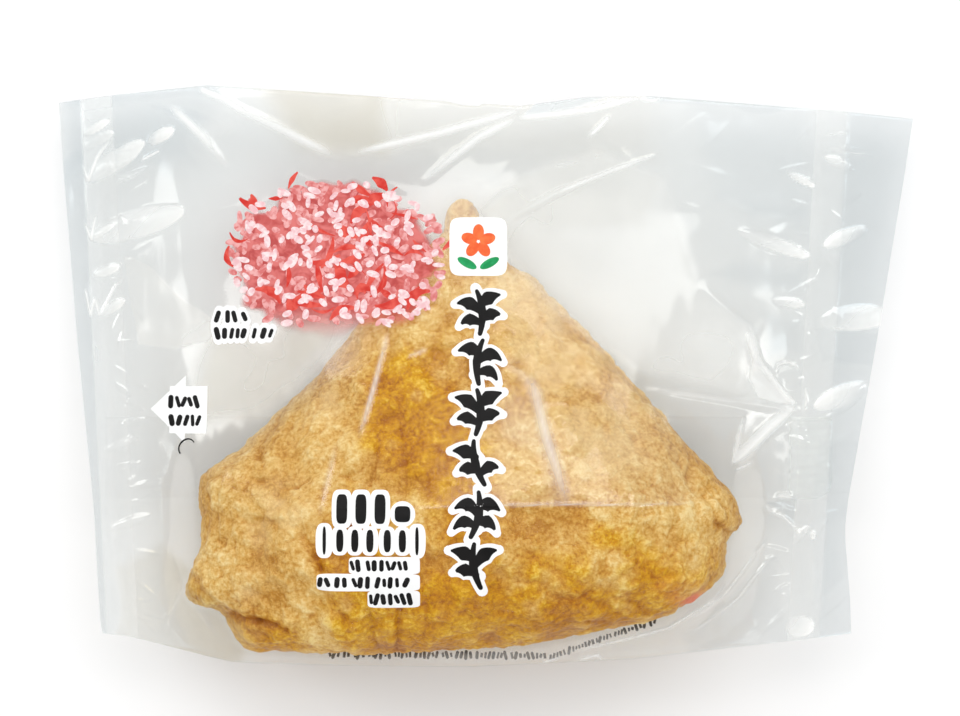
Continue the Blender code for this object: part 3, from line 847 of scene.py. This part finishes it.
def make_film(skin):
    """Front and back film, from the CAD solids, the skin under it and the creases."""
    x, y = film_grid()
    skin_tree = BVHTree.FromPolygons(*read_mesh(skin))
    bag_tree = BVHTree.FromPolygons(*read_mesh(frame["nodes"]["bag"]))
    inari_tree = BVHTree.FromPolygons(*read_mesh(frame["nodes"]["inari"]))
    arm_x, arm_y = x - HUB[0], y - HUB[1]
    keep = 1.0 - EDGE_INSET / np.maximum(np.hypot(arm_x, arm_y), EDGE_INSET)
    inner_x, inner_y = HUB[0] + arm_x * keep, HUB[1] + arm_y * keep
    front = heights(bag_tree, inner_x, inner_y, True, 0.0)
    front = np.maximum(front, heights(inari_tree, inner_x, inner_y, True, 0.0) + 0.5 * MM)
    back = heights(bag_tree, inner_x, inner_y, False, 0.0)
    skin_top = heights(skin_tree, x, y, True, -1.0)

    middle = spread(0.5 * (front + back), 6)
    left_in = x - seal_place(LEFT_SEAL[1], y)
    right_in = seal_place(RIGHT_SEAL[0], y) - x
    inside = np.minimum(left_in, right_in)
    open_share = ease_between(inside, -1.0 * MM, 13.0 * MM)
    left_out = seal_place(LEFT_SEAL[0], y) - x
    right_out = x - seal_place(RIGHT_SEAL[1], y)
    beyond = ease_between(np.maximum(left_out, right_out), 0.0, 1.2 * MM)

    obstacle = widen(skin_top, 1) + SKIN_CLEARANCE
    front = spread(front, 22)
    held = np.zeros(x.shape, dtype=bool)
    held[[0, -1], :] = True
    held[:, [0, -1]] = True
    held |= inside < 0.0
    front = np.where(held, front, np.maximum(front, obstacle))
    for _ in range(160):
        front = np.where(held, front, np.maximum(spread(front, 1), obstacle))
    back = spread(back, 14)

    creases, whitening_and_painted_gleam, milky, tinted = film_creases(x, y)
    spots = np.stack((x, y), axis=-1)
    ripple = 0.28 * swell(spots, 15.0 * MM, 71) + 0.10 * swell(spots, 6.0 * MM, 72)
    ripple += 0.05 * swell(spots * (1.0, 0.4), 2.2 * MM, 73)
    edge_fade = ease_between(np.minimum.reduce((
        y - y[:1, :], y[-1:, :] - y, x - x[:, :1], x[:, -1:] - x)), 0.0, 2.0 * MM)
    creases = (creases + ripple * MM) * edge_fade

    gap = SEALED_GAP + beyond * TAIL_GAP
    closed_front = middle + gap + 0.75 * creases
    closed_back = middle - gap + 0.75 * creases
    front = open_share * (front + creases) + (1.0 - open_share) * closed_front
    front = np.where(skin_top > 0.0, np.maximum(front, skin_top + 0.5 * SKIN_CLEARANCE), front)
    back = open_share * (back + 0.5 * edge_fade * ripple * MM) + (1.0 - open_share) * closed_back
    above = back - FLOOR_CLEARANCE
    back = FLOOR_CLEARANCE + 0.5 * (above + np.hypot(above, FLOOR_EASE))
    front = np.maximum(front, back + SEALED_GAP)
    rim = 0.5 * (front + back)
    front[[0, -1], :], back[[0, -1], :] = rim[[0, -1], :], rim[[0, -1], :]

    pieces = []
    cling = 1.0 - ease_between(spread(front - np.where(skin_top > 0.0, skin_top, -1.0), 1), 1.0 * MM, 7.0 * MM)
    cling = np.maximum(cling, 0.95 * spread((skin_top > 0.0).astype(float), 3))
    cool = 0.35 * ease_between(-inside, 0.0, 2.0 * MM) + 0.65 * ease_between(right_out, -1.0 * MM, 0.6 * MM)
    tail_haze = 0.05 * ease_between(left_out, 0.0, 1.5 * MM) + 0.08 * ease_between(right_out, 0.0, 1.5 * MM)
    band = (1.0 - ease_between(np.abs(inside + 3.0 * MM), 2.6 * MM, 3.2 * MM)) * (inside < 0.0)
    # Where the painted gleam lies, the film's tint gives way to white
    whiter = 1.0 - np.clip(6.0 * whitening_and_painted_gleam, 0.0, 1.0)
    for name, z, flip in (("film_front", front, False), ("film_back", back, True)):
        points = np.stack((x, y, z), axis=-1).reshape(-1, 3)
        piece = make_piece(name, points, grid_faces(ROWS, COLUMNS, flip), film_material(name), "bag")
        # The crease whitening and painted gleam join the milky share of the front film
        haze = np.zeros(x.shape) if flip else haze_field(x, y) + milky + whitening_and_painted_gleam
        tint = cool if flip else np.where(np.abs(tinted) > cool, tinted, cool) * whiter
        set_field(piece, "haze", haze + 0.09 * band + 0.6 * tail_haze)
        set_field(piece, "tint", tint * (1.0 - 0.6 * band))
        set_field(piece, "cling", cling * (not flip))
        pieces.append(piece)
    return pieces


FIN_LOW, FIN_HIGH = -22.4 * MM, -7.8 * MM
FIN_END = 62.2 * MM
FIN_CORNER = 3.2 * MM
FIN_DROP = 0.12 * MM


def make_fin(film_back):
    """Lengthwise seam of the bag: a strip folded flat against the back film, seen through it."""
    tree = BVHTree.FromPolygons(*read_mesh(film_back))
    start = float(seal_place(LEFT_SEAL[0], FIN_LOW)) + 0.6 * MM
    along = np.linspace(start, FIN_END, 260)
    corner = np.clip((along - (FIN_END - FIN_CORNER)) / FIN_CORNER, 0.0, 1.0)
    low = FIN_LOW + FIN_CORNER * (1.0 - np.sqrt(1.0 - corner ** 2))
    low += 0.15 * MM * swell(np.stack((along, 0.0 * along), axis=-1), 8.0 * MM, 81)
    share = np.linspace(0.0, 1.0, 22)[:, None]
    x = np.broadcast_to(along, (22, 260))
    y = low + (FIN_HIGH - low) * share
    z = heights(tree, x, y, False, FLOOR_CLEARANCE) - FIN_DROP * (1.0 - share ** 6)
    points = np.stack((x, y, np.maximum(z, 0.04 * MM)), axis=-1).reshape(-1, 3)
    piece = make_piece("back_seam", points, grid_faces(22, 260, True), film_material("seam_film", (254, 254, 254)), "bag")
    fold_line = np.broadcast_to(ease_between(share, 0.93, 1.0), x.shape)
    ribs = 0.5 + 0.5 * np.cos(2.0 * math.pi * (y - FIN_LOW) / (1.2 * MM))
    tab = ease_between(x, 52.0 * MM, 56.0 * MM)
    rim = ease_between(x, FIN_END - 0.8 * MM, FIN_END)
    set_field(piece, "haze", 0.02 + 0.08 * fold_line + tab * (0.30 + 0.6 * fold_line + 0.3 * rim + 0.05 * ribs))
    set_field(piece, "tint", np.full(x.shape, 0.05))
    set_field(piece, "cling", 1.0 - 0.8 * tab)
    return piece


# ---------------------------------------------------------------- print

WHITE_LIFT = 0.05 * MM
INK_LIFT = 0.17 * MM


class Marks:
    """Flat printed marks gathered into one thin piece that follows the film."""

    def __init__(self):
        self.points = []
        self.faces = []
        self.fades = []

    def grid(self, x, y, fade=1.0, closed=False):
        """Add a grid of places; a closed grid joins its last column to its first."""
        rows, columns = x.shape
        start = len(self.points)
        self.points += np.stack((x.ravel(), y.ravel()), axis=-1).tolist()
        self.fades += np.broadcast_to(fade, x.shape).ravel().tolist()
        for row in range(rows - 1):
            for column in range(columns if closed else columns - 1):
                beside = (column + 1) % columns
                corners = (row * columns + column, row * columns + beside,
                           (row + 1) * columns + beside, (row + 1) * columns + column)
                self.faces.append(tuple(start + corner for corner in corners))

    def blob(self, middle, reach, turn=0.0, power=2.0, ragged=None, points=20, rings=2, fade=None):
        """Add a rounded patch, in mm: an ellipse, or nearly a rectangle at a high power."""
        points = max(points, int(2.0 * math.pi * max(reach) / 0.5))
        rings = max(rings, int(max(reach) / 0.5))
        angles = np.linspace(0.0, 2.0 * math.pi, points, endpoint=False)
        shares = np.linspace(1.0, 0.004, rings + 1)[:, None]
        wide, tall = np.abs(np.cos(angles)), np.abs(np.sin(angles))
        radius = (wide ** power + tall ** power) ** (-1.0 / power)
        if ragged is not None:
            radius = radius * ragged(angles)
        across = reach[0] * radius * np.cos(angles) * shares
        up = reach[1] * radius * np.sin(angles) * shares
        x = middle[0] + across * math.cos(turn) - up * math.sin(turn)
        y = middle[1] + across * math.sin(turn) + up * math.cos(turn)
        self.grid(x, y, 1.0 if fade is None else fade(x, y, shares), closed=True)

    def stroke(self, path, widths, grow=0.0, fineness=0.5):
        """Add a brush stroke, in mm, along a smooth path of three or more places."""
        path = np.array(path, dtype=float)
        length = np.linalg.norm(np.diff(path, axis=0), axis=1).sum()
        knots = np.linspace(0.0, 1.0, len(path))
        share = np.linspace(0.0, 1.0, int(length / fineness) + 4)
        fit = min(len(path) - 1, 3)
        line = np.stack([np.polyval(np.polyfit(knots, path[:, axis], fit), share) for axis in (0, 1)], axis=-1)
        half = 0.5 * np.interp(share, np.linspace(0.0, 1.0, len(widths)), widths) + grow
        run = np.gradient(line, axis=0)
        run /= np.linalg.norm(run, axis=1)[:, None]
        line = line + run * grow * (2.0 * share - 1.0)[:, None]
        side = np.stack((-run[:, 1], run[:, 0]), axis=-1)
        across = np.linspace(-1.0, 1.0, int(2.0 * half.max() / fineness) + 2)
        x = line[:, :1] + side[:, :1] * half[:, None] * across
        y = line[:, 1:] + side[:, 1:] * half[:, None] * across
        self.grid(x, y)
        for spot, reach in ((0, half[0]), (-1, half[-1])):
            if reach > 0.25:
                self.blob(line[spot], (reach, reach), points=10, rings=1)

    def place(self, name, tree, lift, material):
        """Lay the marks on the film and make them one piece."""
        places = np.array(self.points) * MM
        high = heights(tree, places[:, 0], places[:, 1], True, 0.0)
        points = np.column_stack((places, high + lift))
        piece = make_piece(name, points, self.faces, material, "bag", smooth=False)
        piece.visible_shadow = False
        set_field(piece, "fade", self.fades)
        return piece


def ink_material(name, tone, second, patch, fading=False):
    """Printing ink in two close tones. A fading ink thins out where its field says so."""
    recipe = Recipe(name)
    drift = recipe.noise(recipe.place(), patch, 2.0, 0.6, 0.5)
    shade = recipe.blend(drift.ease(0.34, 0.66), colour(*tone), colour(*second))
    inputs = {"Base Color": shade, "Roughness": 0.42 + drift * 0.15, "Specular IOR Level": 0.15}
    ink = recipe.add("BsdfPrincipled", None, inputs)
    if not fading:
        return recipe.finish(ink)
    clear = recipe.add("BsdfTransparent", None, {"Color": colour(252, 252, 252)})
    share = (recipe.field("fade") * (0.8 + drift * 0.4)).least(0.97)
    recipe.material.surface_render_method = "BLENDED"
    return recipe.finish(recipe.add("MixShader", None, {0: share, 1: clear, 2: ink}))


# The petal picture: middle, reach across and up, in mm
PETAL_FIELD = ((-27.0, 20.5), (20.0, 14.5))

# Sprigs of the upright band, each as brush strokes on a square from -1 to 1: path, then widths
SPRIGS = (
    (((-0.1, -1.0), (0.1, 0.0), (-0.05, 0.95)), (0.16, 0.30, 0.14)),
    (((0.0, 0.25), (0.45, 0.55), (0.95, 0.55)), (0.20, 0.52, 0.10)),
    (((0.0, 0.0), (-0.45, 0.40), (-0.95, 0.35)), (0.20, 0.50, 0.10)),
    (((0.0, -0.40), (0.50, -0.20), (0.90, -0.35)), (0.18, 0.46, 0.08)),
    (((0.0, -0.55), (-0.50, -0.35), (-0.90, -0.60)), (0.18, 0.44, 0.08)),
)


def sprig_strokes(middle, size, turn, lean, tilt, skip):
    """Brush strokes of one sprig, placed, turned and bent."""
    strokes = []
    for number, (path, widths) in enumerate(SPRIGS):
        if number == skip:
            continue
        bent = []
        for across, up in path:
            across, up = across * lean, up + tilt * across * across
            bent.append((middle[0] + size * (across * math.cos(turn) - up * math.sin(turn)),
                         middle[1] + size * (across * math.sin(turn) + up * math.cos(turn))))
        strokes.append((bent, [1.3 * size * width for width in widths]))
    return strokes


def caption(start, length, height, seed, slope=0.0):
    """A line of small rounded ticks in groups, as paths with widths."""
    dice = np.random.default_rng(seed)
    bars = []
    x = start[0]
    while x < start[0] + length:
        wide = dice.uniform(0.34, 0.62) * height
        tall = 0.5 * height * dice.uniform(0.55, 0.95)
        lean = dice.uniform(-0.15, 0.15) * height
        y = start[1] + slope * (x - start[0])
        path = ((x - lean, y - tall), (x, y), (x + lean, y + tall))
        bars.append((path, (wide,) * 3))
        x += wide + (0.62 if dice.uniform() < 0.2 else 0.24) * height
    return bars


def make_petals(tree):
    """Printed cloud of pale petals and coral ribbons."""
    dice = np.random.default_rng(907)
    middle, reach = PETAL_FIELD

    def ragged(angles):
        spots = np.stack((np.cos(angles), np.sin(angles)), axis=-1)
        return 0.93 + 0.10 * layered_swell(spots * 3.0, 1.0, 5, 3)

    def fade_down(x, y, shares):
        rim = ease_between(1.0 - shares, 0.0, 0.10)
        return rim * (0.12 + 0.88 * ease_between(y, middle[1] - 14.5, middle[1] - 8.0))

    field = Marks()
    field.blob(middle, reach, power=2.3, ragged=ragged, points=120, rings=18, fade=fade_down)
    field.place("petal_wash", tree, WHITE_LIFT,
                ink_material("blush_ink", (184, 66, 64), (216, 116, 112), 2.2 * MM, fading=True))

    def spot():
        while True:
            across, up = dice.uniform(-1.0, 1.0, 2)
            if abs(across) ** 2.3 + abs(up) ** 2.3 < 0.93 and up > -0.80:
                return middle[0] + reach[0] * across, middle[1] + reach[1] * up

    coral, pale, palest = Marks(), Marks(), Marks()
    for _ in range(52):
        x, y = spot()
        turn = dice.uniform(0.0, math.pi)
        length = dice.uniform(2.0, 6.5)
        bend = dice.uniform(-1.2, 1.2)
        path = ((x, y), (x + length * 0.5 * math.cos(turn) - bend * math.sin(turn),
                         y + length * 0.5 * math.sin(turn) + bend * math.cos(turn)),
                (x + length * math.cos(turn), y + length * math.sin(turn)))
        wide = dice.uniform(0.3, 2.3)
        coral.stroke(path, (0.2 * wide, wide, 0.3 * wide))
    for marks, count, size in ((pale, 240, 0.95), (palest, 170, 0.90)):
        for _ in range(count):
            place = spot()
            reach_now = (size * dice.uniform(0.8, 1.4), size * dice.uniform(0.45, 0.7))
            marks.blob(place, reach_now, dice.uniform(0.0, math.pi), 2.2, points=9, rings=1)
    coral.place("petal_ribbons", tree, WHITE_LIFT + 0.03 * MM,
                ink_material("coral_ink", (202, 48, 40), (222, 90, 78), 2.0 * MM))
    pale.place("petals_pink", tree, WHITE_LIFT + 0.015 * MM,
               ink_material("pink_ink", (232, 172, 170), (208, 110, 108), 1.1 * MM))
    palest.place("petals_white", tree, WHITE_LIFT + 0.045 * MM,
                 ink_material("pearl_ink", (242, 224, 224), (230, 182, 186), 1.0 * MM))


def make_print(film_front, film_back):
    """Everything printed on the two films."""
    front = BVHTree.FromPolygons(*read_mesh(film_front))
    make_petals(front)
    white, black = Marks(), Marks()

    # Rounded tile with a small flower
    tile = (-1.4, 22.7)
    white.blob(tile, (5.15, 5.3), power=7.0, points=48, rings=6)
    flower, leaves = Marks(), Marks()
    for petal in range(5):
        turn = 2.0 * math.pi * petal / 5.0 + 0.3
        spot = (tile[0] + 1.7 * math.cos(turn), tile[1] + 0.9 + 1.7 * math.sin(turn))
        flower.blob(spot, (1.45, 1.0), turn, points=16, rings=2)
    for way in (-1.0, 1.0):
        leaves.blob((tile[0] + way * 2.0, tile[1] - 3.0), (1.9, 0.75), way * 0.5, points=16, rings=2)
    flower.place("tile_flower", front, INK_LIFT, ink_material("orange_ink", (232, 92, 46), (238, 120, 66),
                                                              2.0 * MM))
    leaves.place("tile_leaves", front, INK_LIFT, ink_material("green_ink", (20, 142, 78), (40, 160, 96),
                                                              2.0 * MM))

    # Upright band of sprigs
    turns = ((0.10, 1.0, 0.15, -1), (-0.12, -1.0, -0.2, 3), (0.0, 1.05, 0.3, -1),
             (0.22, -0.95, 0.2, 2), (-0.15, 1.0, -0.25, -1), (0.12, -1.0, 0.25, 4))
    for number, (turn, lean, tilt, skip) in enumerate(turns):
        middle = (-1.1 - 0.15 * number, 11.0 - 8.75 * number)
        for path, widths in sprig_strokes(middle, 3.9, turn, lean, tilt, skip):
            white.stroke(path, widths, grow=0.6)
            black.stroke(path, widths)

    # Rows of pills beside the band
    for x in (-24.9, -21.6, -18.3):
        white.blob((x, -23.2), (1.75, 3.3), power=4.0, points=24, rings=2)
        black.blob((x, -23.2), (0.95, 2.5), power=4.0, points=24, rings=2)
    white.blob((-14.4, -24.0), (2.2, 2.2), points=24, rings=2)
    black.blob((-14.4, -24.0), (1.35, 1.35), power=4.0, points=24, rings=2)
    for x in (-27.9, -25.2, -22.6, -20.0, -17.0, -14.4, -11.9):
        tall = 1.9 if x not in (-27.9, -11.9) else 2.4
        white.blob((x, -28.6), (1.5, tall + 0.6), power=3.0, points=20, rings=2)
        black.blob((x, -28.6), (0.62 if tall < 2.0 else 0.3, tall), power=3.0, points=20, rings=2)
    lines = ((-23.0, -32.8, 11.0), (-28.6, -35.7, 16.6), (-19.8, -38.6, 7.8))
    for number, (x, y, length) in enumerate(lines):
        white.blob((x + 0.5 * length, y), (0.5 * length + 0.6, 1.5), power=8.0, points=56, rings=12)
        for path, widths in caption((x, y), length - 1.0, 1.5, 30 + number):
            black.stroke(path, widths)
    for number, (x, y, length) in enumerate(((-48.0, 10.2, 7.0), (-48.0, 7.2, 12.0))):
        for path, widths in caption((x, y), length - 1.0, 1.6, 40 + number):
            white.stroke(path, widths, grow=0.45)
            black.stroke(path, widths)

    # Arrow for the tear, with its two captions, and the small arc below it
    share = np.linspace(0.0, 1.0, 9)[:, None]
    head = share * np.linspace(-1.0, 1.0, 9)[None, :]
    white.grid(np.broadcast_to(-60.2 + 6.6 * share, head.shape), -6.3 + 6.0 * head)
    body_x, body_y = np.meshgrid(np.linspace(-56.6, -49.6, 9), np.linspace(-10.6, -2.2, 9))
    white.grid(body_x, body_y)
    for number, (x, y, length) in enumerate(((-56.4, -5.0, 6.6), (-56.2, -8.3, 6.2))):
        for path, widths in caption((x, y), length - 1.0, 1.7, 50 + number):
            black.stroke(path, widths)
    black.stroke(((-54.4, -14.2), (-54.5, -12.6), (-53.2, -11.6), (-51.8, -12.2)), (0.28, 0.32, 0.2))

    white.place("print_white", front, WHITE_LIFT + 0.065 * MM,
                ink_material("white_ink", (250, 250, 249), (244, 244, 243), 6.0 * MM))
    black.place("print_black", front, INK_LIFT, ink_material("black_ink", (10, 9, 9), (24, 22, 22), 5.0 * MM))

    # Small marks on the back film that show along its lower fold
    back = BVHTree.FromPolygons(*read_mesh(film_back))
    small = Marks()
    for path, widths in caption((-28.0, -50.4), 39.0, 1.0, 60) + caption((11.5, -50.6), 19.0, 0.9, 61, 0.31):
        small.stroke(path, widths)
    small.place("back_marks", back, 0.03 * MM, ink_material("grey_ink", (78, 80, 84), (112, 114, 118), 3.0 * MM))


# ---------------------------------------------------------------- stage

def aimed(thing, place, target):
    """Put a light or camera at a place and turn it to a target."""
    thing.location = place
    thing.rotation_euler = (Vector(target) - Vector(place)).to_track_quat("-Z", "Y").to_euler()


def softbox(name, place, size, power, tone=(1.0, 1.0, 1.0)):
    """Soft rectangular light that points at the pack."""
    data = bpy.data.lights.new(name, "AREA")
    data.shape = "RECTANGLE"
    data.size, data.size_y = size
    data.energy = power
    data.color = tone
    light = bpy.data.objects.new(name, data)
    bpy.context.scene.collection.objects.link(light)
    aimed(light, place, (0.0, 0.0, 0.01))


def set_stage():
    """Pale floor, soft light all round and a camera straight above the pack."""
    scene = bpy.context.scene
    scene.view_settings.view_transform = "Standard"
    scene.cycles.max_bounces = 6
    scene.cycles.diffuse_bounces = 2
    scene.cycles.glossy_bounces = 3
    sky = Recipe("studio", bpy.data.worlds)
    height = sky.add("SeparateXYZ", None, {0: sky.add("TexCoord")}, out=2)
    shade = sky.add("ValToRGB", {"stops": ((0.0, (0.30, 0.31, 0.32)), (0.9, (0.76, 0.76, 0.76)))}, {0: height})
    scene.world = sky.finish(sky.add("Background", None, {"Color": shade}), "OutputWorld")
    softbox("far_key", (0.12, 0.75, 0.80), (1.10, 0.60), 5.0)
    softbox("upper_left", (-0.60, 0.30, 0.50), (0.25, 0.50), 1.3)
    softbox("right_strip", (0.66, 0.10, 0.42), (0.08, 0.60), 0.6)
    softbox("near_strip", (0.05, -0.66, 0.34), (0.70, 0.07), 1.2)
    softbox("far_strip", (-0.10, 0.80, 0.22), (0.80, 0.05), 0.6)

    recipe = Recipe("pale_floor")
    fleck = recipe.noise(recipe.place(), 0.08, 2.0)
    tone = recipe.blend(fleck, colour(246, 246, 246), colour(249, 249, 249))
    inputs = {"Base Color": tone, "Roughness": 0.9}
    material = recipe.finish(recipe.add("BsdfPrincipled", None, inputs))
    data = bpy.data.meshes.new("floor")
    reach = 3.0
    corners = [(-reach, -reach, 0.0), (reach, -reach, 0.0), (reach, reach, 0.0), (-reach, reach, 0.0)]
    data.from_pydata(corners, [], [(0, 1, 2, 3)])
    floor = bpy.data.objects.new("floor", data)
    scene.collection.objects.link(floor)
    data.materials.append(material)

    camera = bpy.data.objects.new("camera", bpy.data.cameras.new("camera"))
    scene.collection.objects.link(camera)
    view_width = 0.1728
    distance = 0.55
    camera.data.lens = camera.data.sensor_width * distance / view_width
    camera.location = (-0.0011, 0.0028, distance + 0.008)
    scene.camera = camera


def main():
    """Make the pack and its stage."""
    set_stage()
    skin = make_inari()
    film_front, film_back = make_film(skin)
    make_fin(film_back)
    make_print(film_front, film_back)


main()
